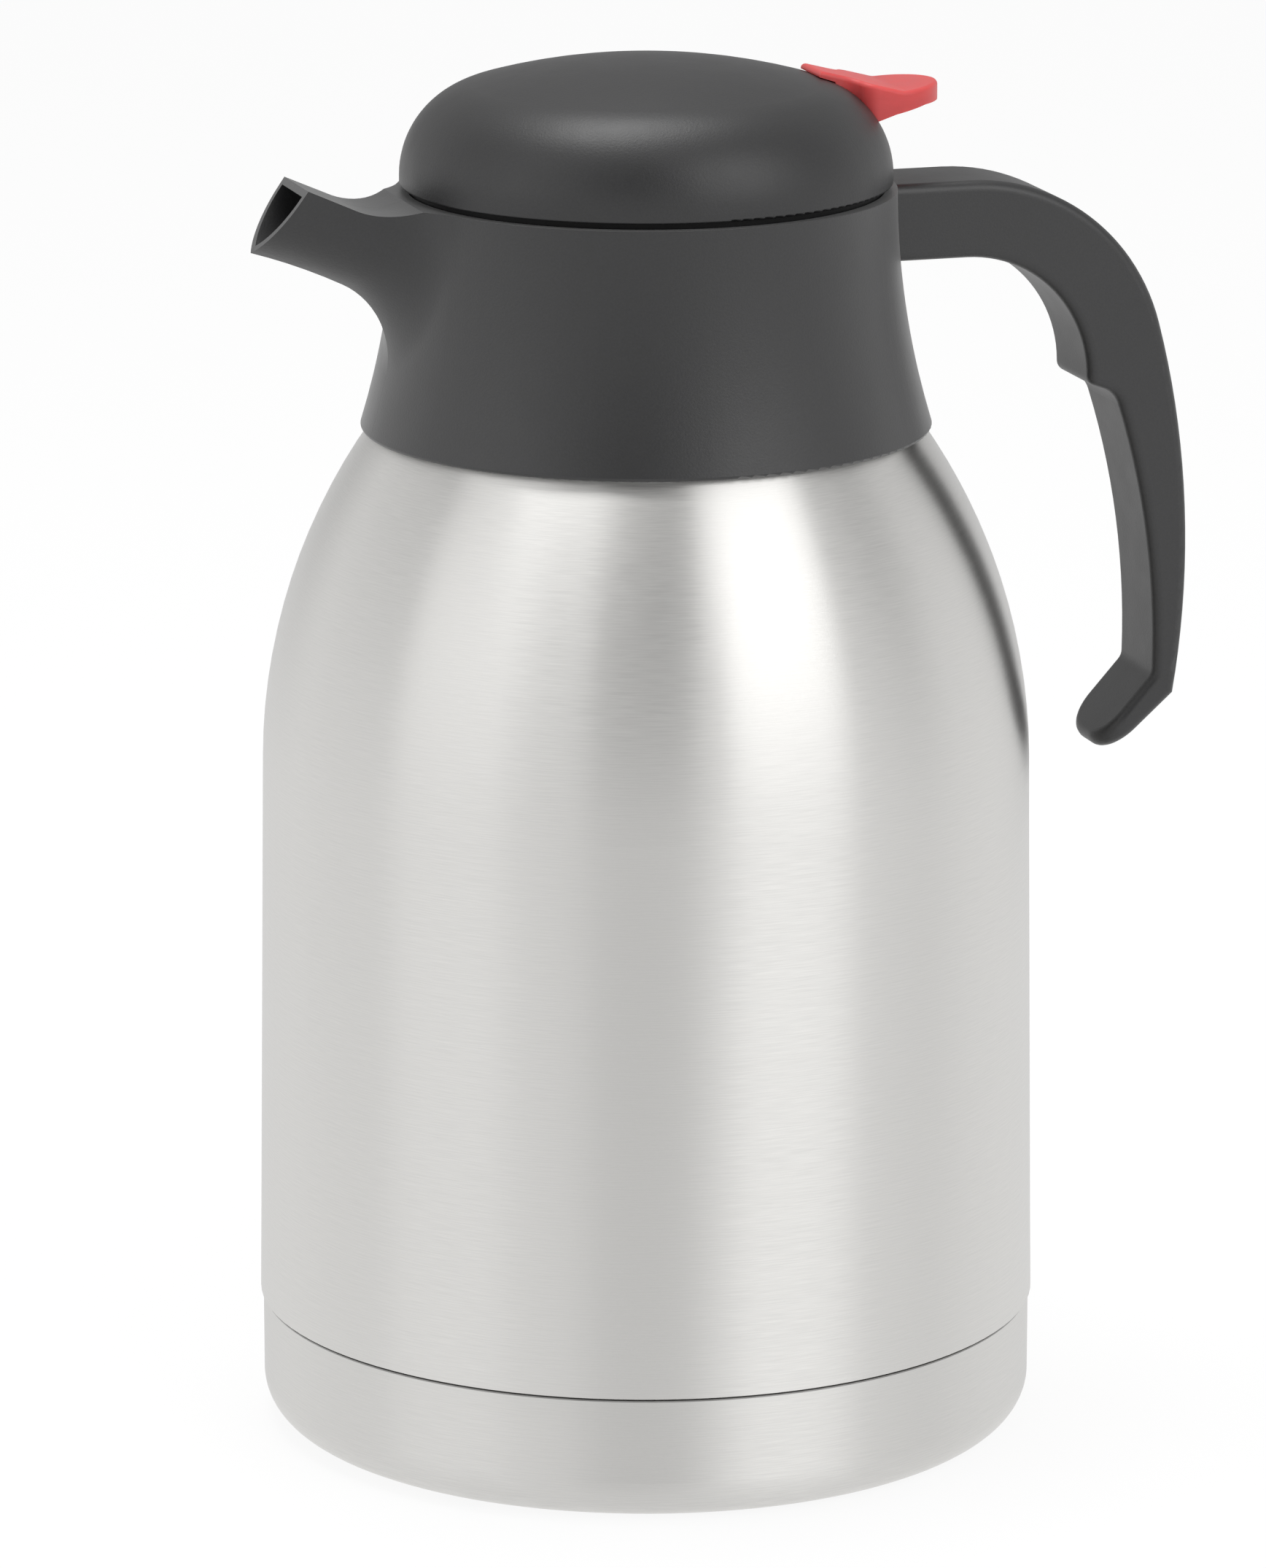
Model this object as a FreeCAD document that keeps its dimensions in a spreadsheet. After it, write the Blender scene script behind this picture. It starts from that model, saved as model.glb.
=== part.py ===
import FreeCAD, Part
import Sketcher
import math
import os
from types import SimpleNamespace

# Driving dimensions in millimetres, and degrees where the name says angle.
# Z is up from the table, and X runs from the spout (negative) to the handle.
SIZES = {
    # base cup
    "base_radius": 71.4,
    "base_edge_round": 8.0,
    "base_height": 23.5,
    "base_wall": 0.6,
    "foot_width": 7.4,
    "foot_recess": 2.5,
    "foot_ramp": 3.0,
    # outer shell: the step out from the base, the draw in to the waist, the shoulder in to the neck
    "seam_gap": 0.5,
    "skirt_fit": 0.1,
    "skirt_bottom": 7.0,
    "shell_step": 0.5,
    "shell_draw": 1.45,
    "shell_wall": 0.6,
    "shoulder_width": 28.95,
    "shoulder_round": 108.6,
    "neck_length": 4.8,
    "lip_height": 203.0,
    # inner flask and vacuum jacket
    "vacuum_gap": 3.6,
    "neck_gap": 1.5,
    "flask_wall": 0.5,
    "flask_floor_gap": 6.2,
    "flask_floor_round": 18.0,
    "plate_thickness": 0.8,
    "plate_fit": 0.05,
    "dimple_radius": 6.0,
    "dimple_depth": 1.5,
    "dimple_slope": 2.0,
    "vent_radius": 1.2,
    "bead_radius": 3.5,
    "bead_thickness": 1.0,
    "getter_radius": 6.0,
    "getter_thickness": 2.5,
    "getter_offset": 30.0,
    # collar: it hangs below the flask's lip and rises above it
    "collar_hang": 16.2,
    "collar_gap": 0.25,
    "collar_edge_wall": 1.4,
    "collar_edge_round": 0.7,
    "collar_flare": 147.0,
    "collar_wall": 2.2,
    "rim_rise": 27.4,
    "rim_overhang": 4.0,
    "deck_thickness": 2.2,
    "bore_depth": 9.0,
    "gasket_thickness": 1.2,
    "gasket_width": 2.4,
    # spout: reaches are beyond the rim, drops are below it
    "spout_lip_reach": 29.1,
    "spout_lip_drop": 8.9,
    "spout_mouth_reach": 19.9,
    "spout_mouth_rise": 4.0,
    "spout_valley_reach": 5.5,
    "spout_valley_depth": 1.0,
    "spout_valley_round": 15.0,
    "spout_overrun": 5.4,
    "spout_middle_reach": 12.5,
    "spout_root_inset": 9.5,
    "spout_outer_keel_drop": 6.4,
    "spout_middle_keel_drop": 14.2,
    "spout_root_keel_drop": 28.0,
    "spout_outer_half_width": 7.8,
    "spout_middle_half_width": 9.0,
    "spout_root_half_width": 13.0,
    "spout_keel_round": 14.0,
    "spout_blend": 15.0,
    "spout_wall": 1.6,
    "channel_round": 13.0,
    "channel_root_half_width": 9.0,
    "channel_root_step": 0.7,
    "channel_root_inset": 2.0,
    # threaded neck ring
    "ring_fit": 0.3,
    "ring_wall": 3.0,
    "ring_flange_width": 4.4,
    "ring_flange_thickness": 1.5,
    "ring_depth": 16.4,
    "ring_ledge_width": 6.6,
    "ring_ledge_thickness": 2.0,
    "ring_bead": 0.6,
    "thread_lead": 28.0,
    "thread_rib": 1.5,
    "thread_width": 2.4,
    "thread_slope": 0.4,
    "thread_gap": 0.4,
    "thread_rise": 6.0,
    "thread_bottom": 3.6,
    # handle: reaches are beyond the rim, drops are below the handle's top
    "handle_width": 19.0,
    "handle_edge_round": 1.8,
    "handle_drop": 0.4,
    "handle_depth": 14.2,
    "handle_corner_start": 13.9,
    "handle_corner_round": 38.5,
    "handle_grip_round": 164.0,
    "handle_heel_reach": 54.8,
    "handle_heel_drop": 98.6,
    "handle_hook_bottom_back": 12.9,
    "handle_hook_bottom_drop": 11.4,
    "handle_hook_top_back": 14.9,
    "handle_hook_top_drop": 8.2,
    "handle_toe_round": 7.0,
    "handle_palm_back": 4.1,
    "handle_palm_rise": 3.8,
    "handle_palm_round": 150.0,
    "handle_palm_corner": 2.5,
    "handle_stop_drop": 39.0,
    "handle_stop_depth": 5.5,
    "handle_stop_fall": 2.0,
    "handle_stop_foot_round": 5.0,
    "handle_stop_round": 2.0,
    "handle_inner_start": 13.3,
    "handle_inner_round": 23.7,
    "handle_seat_fit": 0.05,
    "tenon_length": 12.0,
    "tenon_width": 10.0,
    "tenon_floor": 2.2,
    "tenon_roof": 3.0,
    "tenon_fit": 0.1,
    "screw_inset": 6.0,
    "screw_radius": 1.5,
    "screw_cover": 1.0,
    "screw_head_radius": 2.8,
    "screw_head_height": 1.2,
    "screw_head_fit": 0.2,
    "screw_fit": 0.05,
    "screw_recess": 1.4,
    # stopper: depths are below the rim
    "stopper_wall": 2.2,
    "stopper_lift": 0.1,
    "face_seal_thickness": 2.4,
    "face_seal_bead": 1.0,
    "seal_fit": 0.1,
    "seat_fit": 0.1,
    "seat_floor_rise": 2.0,
    "seat_skirt": 5.0,
    "seat_rim": 0.8,
    "seat_rim_width": 3.5,
    "port_radius": 9.0,
    "window_sill": 1.6,
    "window_head": 2.5,
    "window_width": 22.0,
    "plug_clearance": 0.35,
    "plug_depth": 8.0,
    "plug_lip": 1.8,
    "side_seal_height": 2.8,
    "side_seal_depth": 2.0,
    "lid_deck_depth": 6.5,
    "lid_deck_thickness": 3.5,
    "guide_drop": 3.0,
    "guide_rise": 3.0,
    "guide_radius": 7.0,
    "guide_fit": 0.1,
    "spigot_height": 2.6,
    "spigot_wall": 2.4,
    "spigot_fit": 0.15,
    # domed lid
    "dome_gap": 1.1,
    "dome_step": 0.8,
    "dome_edge_round": 0.5,
    "dome_straight": 1.5,
    "dome_corner": 17.1,
    "crown_rise": 3.9,
    "dome_wall": 2.4,
    "slot_play": 0.3,
    "slot_sink": 0.7,
    "slot_fit": 0.25,
    # lever: insets are inside the dome's edge, overhangs beyond it, drops below the dome's top
    "pivot_inset": 11.7,
    "pivot_drop": 13.5,
    "pin_radius": 1.5,
    "pin_fit": 0.05,
    "pin_seat_fit": 0.02,
    "boss_radius": 3.6,
    "ear_gap": 0.4,
    "ear_thickness": 2.5,
    "lever_half_width": 5.5,
    "lever_lip_inset": 13.5,
    "lever_lip_gap": 0.1,
    "lever_lip_thickness": 1.2,
    "lever_lip_length": 3.0,
    "lever_lip_fall": 1.0,
    "lever_valley_overhang": 1.4,
    "lever_valley_drop": 6.8,
    "lever_valley_round": 3.0,
    "lever_tip_overhang": 10.5,
    "lever_tip_drop": 5.85,
    "lever_tip_thickness": 3.5,
    "lever_root_inset": 0.2,
    "lever_root_rise": 2.6,
    "lever_belly_overhang": 5.8,
    "lever_belly_rise": 3.9,
    "lever_flare_inset": 9.5,
    "lever_flare_length": 6.0,
    "lever_edge_round": 0.8,
    "tongue_half_width": 9.75,
    "tongue_nose": 10.2,
    "tongue_round": 10.3,
    "arm_inset": 0.4,
    "arm_depth": 2.4,
    "fork_half_gap": 3.6,
    "fork_length": 13.0,
    "bump_radius": 1.6,
    "bump_gap": 0.15,
    # valve
    "stem_radius": 3.0,
    "stem_neck_radius": 2.4,
    "stem_barb_radius": 4.4,
    "stem_barb_height": 2.4,
    "stem_flange_radius": 8.0,
    "stem_flange_thickness": 1.5,
    "stem_top_radius": 2.0,
    "stem_top_stand": 0.4,
    "cap_radius": 8.5,
    "cap_thickness": 2.0,
    "cap_fit": 0.03,
    "disc_radius": 12.0,
    "disc_thickness": 2.6,
    "disc_fit": 0.05,
    "spring_radius": 5.2,
    "spring_wire_radius": 0.5,
    "spring_turns": 7.0,
    "spring_end_gap": 0.2,
}


class Size:
    """A length: its value now, and the expression that ties it to the sheet."""

    def __init__(self, value, text):
        self.value = value
        self.text = text

    def __add__(self, other):
        other = as_size(other)
        return Size(self.value + other.value, "(%s + %s)" % (self.text, other.text))

    def __sub__(self, other):
        other = as_size(other)
        return Size(self.value - other.value, "(%s - %s)" % (self.text, other.text))

    def __mul__(self, other):
        other = as_size(other)
        return Size(self.value * other.value, "(%s * %s)" % (self.text, other.text))

    def __truediv__(self, other):
        other = as_size(other)
        return Size(self.value / other.value, "(%s / %s)" % (self.text, other.text))

    def __neg__(self):
        return Size(-self.value, "(0 - %s)" % self.text)


def as_size(value):
    if isinstance(value, Size):
        return value
    return Size(float(value), "%g" % value)


def root(size):
    return Size(math.sqrt(size.value), "sqrt(%s)" % size.text)


def make_sheet(document):
    """Put every driving dimension in the sheet and return them by name."""
    sheet = document.addObject("Spreadsheet::Sheet", "Sizes")
    named = {}
    for row, (alias, value) in enumerate(SIZES.items(), start=1):
        sheet.set("A%d" % row, alias.replace("_", " "))
        sheet.set("B%d" % row, "%g" % value)
        sheet.setAlias("B%d" % row, alias)
        named[alias] = Size(value, "Sizes.%s" % alias)
    document.recompute()
    return SimpleNamespace(**named)


def bind(thing, path, size):
    thing.setExpression(path, as_size(size).text)


def new_body(name):
    body = doc.addObject("PartDesign::Body", name)
    body.Label = name
    return body


def origin_feature(body, role):
    return next(item for item in body.Origin.OriginFeatures if item.Role == role)


def new_sketch(body, name, plane, offset=None):
    sketch = body.newObject("Sketcher::SketchObject", name)
    sketch.AttachmentSupport = (origin_feature(body, plane), [""])
    sketch.MapMode = "FlatFace"
    if offset is not None:
        sketch.AttachmentOffset.Base.z = offset.value
        bind(sketch, "AttachmentOffset.Base.z", offset)
    return sketch


def tie_point(sketch, geometry, end, place, axis, label):
    """Hold one coordinate of a point at its size, measured from the sketch's origin."""
    kind = "DistanceX" if axis == 0 else "DistanceY"
    size = as_size(place)
    if abs(size.value) < 1e-9:
        sketch.addConstraint(Sketcher.Constraint("PointOnObject", geometry, end, -2 if axis == 0 else -1))
        return
    if size.value > 0:
        ends = (-1, 1, geometry, end)
    else:
        ends = (geometry, end, -1, 1)
        size = -size
    index = sketch.addConstraint(Sketcher.Constraint(kind, *ends, size.value))
    sketch.renameConstraint(index, label)
    bind(sketch, "Constraints." + label, size)


def arc_geometry(first, last, radius, bend):
    """Minor arc from first to last; bend 1 turns left along the way, -1 turns right."""
    chord = last - first
    half = chord.Length / 2
    height = math.sqrt(radius * radius - half * half)
    left = FreeCAD.Vector(-chord.y, chord.x, 0).normalize()
    centre = (first + last) / 2 + left * (height * bend)
    begin, finish = (first, last) if bend > 0 else (last, first)
    start_angle = math.atan2(begin.y - centre.y, begin.x - centre.x)
    end_angle = math.atan2(finish.y - centre.y, finish.x - centre.x)
    circle = Part.Circle(centre, FreeCAD.Vector(0, 0, 1), radius)
    return Part.ArcOfCircle(circle, start_angle, end_angle)


def add_outline(sketch, points, prefix="p"):
    """Closed outline. A point is (u, v), or (u, v, radius, bend) where an arc leaves it."""
    count = len(points)
    spots = [FreeCAD.Vector(as_size(p[0]).value, as_size(p[1]).value, 0) for p in points]
    ends = []
    for index, point in enumerate(points):
        first = spots[index]
        last = spots[(index + 1) % count]
        if len(point) == 2:
            number = sketch.addGeometry(Part.LineSegment(first, last), False)
            ends.append((number, 1, 2))
            continue
        radius, bend = as_size(point[2]), point[3]
        number = sketch.addGeometry(arc_geometry(first, last, radius.value, bend), False)
        ends.append((number, 1, 2) if bend > 0 else (number, 2, 1))
    for index, point in enumerate(points):
        number, begin, finish = ends[index]
        following = ends[(index + 1) % count]
        sketch.addConstraint(Sketcher.Constraint("Coincident", number, finish, following[0], following[1]))
        tie_point(sketch, number, begin, point[0], 0, "%s%du" % (prefix, index))
        tie_point(sketch, number, begin, point[1], 1, "%s%dv" % (prefix, index))
        if len(point) > 2:
            radius = as_size(point[2])
            label = "%s%dr" % (prefix, index)
            held = sketch.addConstraint(Sketcher.Constraint("Radius", number, radius.value))
            sketch.renameConstraint(held, label)
            bind(sketch, "Constraints." + label, radius)
    return sketch


def outline(body, name, plane, points, offset=None):
    return add_outline(new_sketch(body, name, plane, offset), points)


def circle_sketch(body, name, plane, u, v, radius, offset=None):
    sketch = new_sketch(body, name, plane, offset)
    radius = as_size(radius)
    spot = FreeCAD.Vector(as_size(u).value, as_size(v).value, 0)
    number = sketch.addGeometry(Part.Circle(spot, FreeCAD.Vector(0, 0, 1), radius.value), False)
    tie_point(sketch, number, 3, u, 0, "centre_u")
    tie_point(sketch, number, 3, v, 1, "centre_v")
    held = sketch.addConstraint(Sketcher.Constraint("Radius", number, radius.value))
    sketch.renameConstraint(held, "radius")
    bind(sketch, "Constraints.radius", radius)
    return sketch


def rectangle(left, right, bottom, top):
    return [(left, bottom), (right, bottom), (right, top), (left, top)]


def add_feature(body, kind, sketch, name):
    feature = body.newObject("PartDesign::" + kind, name)
    feature.Profile = sketch
    sketch.Visibility = False
    return feature


def turn(body, sketch, name, kind="Revolution"):
    feature = add_feature(body, kind, sketch, name)
    feature.ReferenceAxis = (sketch, ["V_Axis"])
    feature.Angle = 360
    return feature


def extrude(body, sketch, name, length, kind="Pad", symmetric=True, flip=False):
    feature = add_feature(body, kind, sketch, name)
    feature.SideType = "Symmetric" if symmetric else "One side"
    feature.Reversed = flip
    feature.Length = as_size(length).value
    bind(feature, "Length", length)
    return feature


def round_edges(body, base, chosen, radius, name):
    """Fillet the edges of base that chosen(edge, shape) picks."""
    doc.recompute()
    shape = base.Shape
    names = ["Edge%d" % number for number, edge in enumerate(shape.Edges, start=1) if chosen(edge, shape)]
    if not names:
        raise RuntimeError("no edge was found for %s" % name)
    feature = body.newObject("PartDesign::Fillet", name)
    feature.Base = (base, names)
    feature.Radius = as_size(radius).value
    bind(feature, "Radius", radius)
    return feature


def repeat_around(body, feature, count, name):
    pattern = body.newObject("PartDesign::PolarPattern", name)
    pattern.Originals = [feature]
    pattern.Axis = (origin_feature(body, "Z_Axis"), [""])
    pattern.Angle = 360
    pattern.Occurrences = count
    body.Tip = pattern
    return pattern


def turned_body(name, points):
    body = new_body(name)
    turn(body, outline(body, name + "_outline", "XZ_Plane", points), name + "_turned")
    return body


doc = FreeCAD.newDocument("vacuum_jug")
s = make_sheet(doc)

# Levels and radii that several pieces share.
seam_top = s.base_height + s.seam_gap
skirt_radius = s.base_radius - s.base_wall - s.skirt_fit
shell_foot = s.base_radius + s.shell_step
shell_waist = shell_foot - s.shell_draw
neck_radius = shell_waist - s.shoulder_width
shell_top = s.lip_height - s.flask_wall
flask_inset = s.shell_wall + s.vacuum_gap
flask_neck = neck_radius - s.shell_wall - s.neck_gap
flask_mouth = flask_neck - s.flask_wall
flask_floor = s.skirt_bottom + s.plate_thickness + s.flask_floor_gap

# The shoulder's arc comes down from the neck and runs on into the leaning wall.
shoulder_centre_r = shell_waist - s.shoulder_round
shoulder_across = s.shoulder_round - s.shoulder_width
shoulder_rise = root(s.shoulder_round * s.shoulder_round - shoulder_across * shoulder_across)
shoulder_centre_z = shell_top - s.neck_length - shoulder_rise
half_wall = (shoulder_centre_z - seam_top) / 2
shoulder_start = seam_top + half_wall + root(half_wall * half_wall + s.shoulder_round * s.shell_draw)


def shoulder_height(radius, inset):
    """Height at which the shoulder's arc, set in by inset, has come in to this radius."""
    arc = s.shoulder_round - inset
    across = radius - shoulder_centre_r
    return shoulder_centre_z + root(arc * arc - across * across)


def shoulder_radius(height):
    rise = height - shoulder_centre_z
    return shoulder_centre_r + root(s.shoulder_round * s.shoulder_round - rise * rise)


collar_bottom = s.lip_height - s.collar_hang
collar_bottom_radius = shoulder_radius(collar_bottom) + s.collar_gap + s.collar_edge_wall
collar_flare_bottom = collar_bottom + s.collar_edge_round
collar_deck_bottom = s.lip_height + s.gasket_thickness
collar_deck_top = collar_deck_bottom + s.deck_thickness
rim_height = s.lip_height + s.rim_rise
rim_radius = neck_radius + s.rim_overhang
bore_radius = rim_radius - s.collar_wall
bore_bottom = rim_height - s.bore_depth
ring_radius = flask_mouth - s.ring_fit
ring_bore = ring_radius - s.ring_wall
ring_bottom = collar_deck_top - s.ring_depth
ledge_top = ring_bottom + s.ring_ledge_thickness
ledge_radius = ring_bore - s.ring_ledge_width
ring_flange_top = collar_deck_top + s.ring_flange_thickness
stopper_radius = ring_bore - s.thread_rib - s.thread_gap
stopper_bore = stopper_radius - s.stopper_wall
seal_bottom = ledge_top + s.stopper_lift
stopper_bottom = seal_bottom + s.face_seal_thickness + s.seal_fit
seat_floor = stopper_bottom + s.seat_floor_rise
seat_top = seat_floor + s.seat_rim
disc_bottom = seat_top + s.disc_fit
disc_top = disc_bottom + s.disc_thickness
stem_flange_bottom = disc_top + s.disc_fit
stem_flange_top = stem_flange_bottom + s.stem_flange_thickness
handle_top = rim_height - s.handle_drop
handle_under = handle_top - s.handle_depth

# The dome's wall, corner arc and crown arc run on smoothly from one to the next.
dome_bottom = rim_height + s.dome_gap
dome_radius = rim_radius - s.dome_step
dome_inner = dome_radius - s.dome_wall
corner_r = dome_radius - s.dome_corner
corner_z = dome_bottom + s.dome_straight
crown_span = (corner_r * corner_r + s.crown_rise * s.crown_rise) / (s.crown_rise * 2)
dome_crown = crown_span + s.dome_corner
dome_top = corner_z + s.dome_corner + s.crown_rise
crown_centre = dome_top - dome_crown
corner_rise = corner_z - crown_centre
pivot_reach = dome_radius - s.pivot_inset
pivot_height = dome_top - s.pivot_drop
cap_bottom = pivot_height + s.bump_radius + s.bump_gap


def make_base_cup():
    inner_round = s.base_edge_round - s.base_wall
    foot = s.base_radius - s.base_edge_round
    foot_inner = foot - s.foot_width
    ramp = foot_inner - s.foot_ramp
    turned_body("base_cup", [
        (0, s.foot_recess),
        (ramp, s.foot_recess),
        (foot_inner, 0),
        (foot, 0, s.base_edge_round, 1),
        (s.base_radius, s.base_edge_round),
        (s.base_radius, s.base_height),
        (s.base_radius - s.base_wall, s.base_height),
        (s.base_radius - s.base_wall, s.base_edge_round, inner_round, -1),
        (foot, s.base_wall),
        (foot_inner, s.base_wall),
        (ramp, s.foot_recess + s.base_wall),
        (0, s.foot_recess + s.base_wall),
    ])


def make_outer_shell():
    neck_inner = neck_radius - s.shell_wall
    inner_arc = s.shoulder_round - s.shell_wall
    turned_body("outer_shell", [
        (skirt_radius, s.skirt_bottom),
        (skirt_radius, s.base_height),
        (shell_foot, seam_top),
        (shell_waist, shoulder_start, s.shoulder_round, 1),
        (neck_radius, shoulder_height(neck_radius, as_size(0))),
        (neck_radius, shell_top),
        (neck_inner, shell_top),
        (neck_inner, shoulder_height(neck_inner, s.shell_wall), inner_arc, -1),
        (shell_waist - s.shell_wall, shoulder_start),
        (shell_foot - s.shell_wall - s.shell_wall, seam_top),
        (skirt_radius - s.shell_wall, s.base_height - s.shell_wall),
        (skirt_radius - s.shell_wall, s.skirt_bottom),
    ])


def make_inner_flask():
    outer = shell_waist - flask_inset
    inner = outer - s.flask_wall
    inner_inset = flask_inset + s.flask_wall
    inner_round = s.flask_floor_round - s.flask_wall
    floor_edge = outer - s.flask_floor_round
    floor_top = flask_floor + s.flask_floor_round
    turned_body("inner_flask", [
        (0, flask_floor),
        (floor_edge, flask_floor, s.flask_floor_round, 1),
        (outer, floor_top),
        (outer, shoulder_start, s.shoulder_round - flask_inset, 1),
        (flask_neck, shoulder_height(flask_neck, flask_inset)),
        (flask_neck, shell_top),
        (neck_radius, shell_top),
        (neck_radius, s.lip_height),
        (flask_mouth, s.lip_height),
        (flask_mouth, shoulder_height(flask_mouth, inner_inset), s.shoulder_round - inner_inset, -1),
        (inner, shoulder_start),
        (inner, floor_top, inner_round, -1),
        (floor_edge, flask_floor + s.flask_wall),
        (0, flask_floor + s.flask_wall),
    ])


def make_jacket():
    """The plate that closes the vacuum jacket, its sealed vent and the getter on it."""
    edge = skirt_radius - s.shell_wall - s.plate_fit
    under = s.skirt_bottom
    over = under + s.plate_thickness
    foot = s.dimple_radius + s.dimple_slope
    turned_body("jacket_plate", [
        (s.vent_radius, under + s.dimple_depth),
        (s.dimple_radius, under + s.dimple_depth),
        (foot, under),
        (edge, under),
        (edge, over),
        (foot, over),
        (s.dimple_radius, over + s.dimple_depth),
        (s.vent_radius, over + s.dimple_depth),
    ])
    turned_body("vent_bead", [
        (0, under + s.dimple_depth - s.bead_thickness),
        (s.bead_radius, under + s.dimple_depth - s.bead_thickness),
        (s.bead_radius, under + s.dimple_depth),
        (0, under + s.dimple_depth),
    ])
    body = new_body("getter_tablet")
    sketch = circle_sketch(body, "getter_outline", "XY_Plane", s.getter_offset, 0, s.getter_radius, over)
    extrude(body, sketch, "getter_block", s.getter_thickness, symmetric=False)


def make_collar():
    """The collar with its spout: turned form, lofted spout, blend, top and mouth cut, hollows."""
    body = new_body("collar")
    clear_top = dome_top
    form = outline(body, "collar_form", "XZ_Plane", [
        (0, collar_bottom),
        (collar_bottom_radius - s.collar_edge_round, collar_bottom, s.collar_edge_round, 1),
        (collar_bottom_radius, collar_flare_bottom, s.collar_flare, -1),
        (rim_radius, rim_height),
        (rim_radius, clear_top),
        (0, clear_top),
    ])
    turn(body, form, "collar_turned")
    spout = body.newObject("PartDesign::AdditiveLoft", "spout_form")
    sections = [
        spout_section(body, "outer", outer_station, s.spout_outer_half_width, outer_keel),
        spout_section(body, "middle", middle_station, s.spout_middle_half_width, middle_keel),
        spout_section(body, "root", root_station, s.spout_root_half_width, root_keel),
    ]
    spout.Profile = sections[0]
    spout.Sections = sections[1:]
    round_edges(body, spout, joins_spout, s.spout_blend, "spout_blend")
    extrude(body, top_cut(body, clear_top), "top_cut", (collar_bottom_radius + s.collar_wall) * 2, "Pocket")
    make_collar_hollows(body)
    channel = body.newObject("PartDesign::SubtractiveLoft", "spout_channel")
    sections = channel_sections(body)
    channel.Profile = sections[0]
    channel.Sections = sections[1:]
    make_tenon(body)


def spout_section(body, label, reach, half_width, keel):
    """Pointed arch: two arcs that meet at the keel, with straight sides above them."""
    across = s.spout_keel_round - half_width
    spring_line = keel + root(s.spout_keel_round * s.spout_keel_round - across * across)
    points = [
        (0, keel, s.spout_keel_round, 1),
        (half_width, spring_line),
        (half_width, dome_top),
        (-half_width, dome_top),
        (-half_width, spring_line, s.spout_keel_round, 1),
    ]
    return outline(body, "spout_%s" % label, "YZ_Plane", points, -reach)


def joins_spout(edge, shape):
    """True for an edge between a lofted face of the spout and a turned face of the collar."""
    kinds = [type(face.Surface).__name__ for face in shape.ancestorsOfType(edge, Part.Face)]
    lofted = kinds.count("BSplineSurface")
    return lofted == 1 and "Plane" not in kinds and edge.CenterOfMass.x < 0


# The spout's top line: level with the rim, down into the valley, then up to the mouth.
valley_height = s.spout_valley_round - s.spout_valley_depth
valley_half = root(s.spout_valley_round * s.spout_valley_round - valley_height * valley_height)
valley_start = rim_radius + s.spout_valley_reach - valley_half
valley_end = valley_start + valley_half * 2
mouth_reach = rim_radius + s.spout_mouth_reach
mouth_height = rim_height + s.spout_mouth_rise
lip_reach = rim_radius + s.spout_lip_reach
lip_height = rim_height - s.spout_lip_drop
spout_slope = s.spout_mouth_rise / (mouth_reach - valley_end)
outer_station = lip_reach + s.spout_overrun
middle_station = rim_radius + s.spout_middle_reach
root_station = rim_radius - s.spout_root_inset
outer_keel = rim_height - s.spout_outer_keel_drop
middle_keel = rim_height - s.spout_middle_keel_drop
root_keel = rim_height - s.spout_root_keel_drop


def spout_top(reach):
    return rim_height + (reach - valley_end) * spout_slope


def top_cut(body, clear_top):
    """Everything above the rim and the spout's top line, and in front of the slanted mouth."""
    low_reach = lip_reach * 2 - mouth_reach
    low_height = lip_height * 2 - mouth_height
    far = low_reach + lip_reach
    over = clear_top + rim_radius
    return outline(body, "top_cut_outline", "XZ_Plane", [
        (-valley_start, rim_height, s.spout_valley_round, -1),
        (-valley_end, rim_height),
        (-mouth_reach, mouth_height),
        (-low_reach, low_height),
        (-far, low_height),
        (-far, over),
        (far, over),
        (far, rim_height),
    ])


def make_collar_hollows(body):
    """The hollow below the deck, the hole in the deck, and the gallery with the lid's bore."""
    below = outline(body, "collar_below", "XZ_Plane", [
        (0, collar_bottom),
        (collar_bottom_radius - s.collar_edge_wall, collar_bottom),
        (rim_radius, collar_deck_bottom),
        (ring_radius + s.ring_fit, collar_deck_bottom),
        (ring_radius + s.ring_fit, collar_deck_top),
        (rim_radius, collar_deck_top),
        (bore_radius, bore_bottom),
        (bore_radius, rim_height),
        (0, rim_height),
    ])
    turn(body, below, "collar_hollow", "Groove")


def channel_sections(body):
    """Sections of the pouring channel, from beyond the mouth to inside the gallery."""
    wall = s.spout_wall
    stations = (
        ("outer", outer_station, s.spout_outer_half_width - wall, outer_keel + wall,
         spout_top(outer_station) - wall),
        ("middle", middle_station, s.spout_middle_half_width - wall, middle_keel + wall,
         spout_top(middle_station) - wall),
        ("root", bore_radius - s.channel_root_inset, s.channel_root_half_width,
         ring_flange_top + s.channel_root_step, bore_bottom),
    )
    sections = []
    for label, reach, half_width, keel, ceiling in stations:
        points = [
            (0, keel, s.channel_round, 1),
            (half_width, ceiling),
            (-half_width, ceiling, s.channel_round, 1),
        ]
        sections.append(outline(body, "channel_%s" % label, "YZ_Plane", points, -reach))
    return sections


tenon_bottom = handle_under + s.tenon_floor
tenon_top = handle_top - s.tenon_roof
tenon_end = rim_radius + s.tenon_length
screw_reach = rim_radius + s.screw_inset
screw_end = tenon_top - s.screw_cover
screw_hole = s.screw_radius + s.screw_fit


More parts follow.
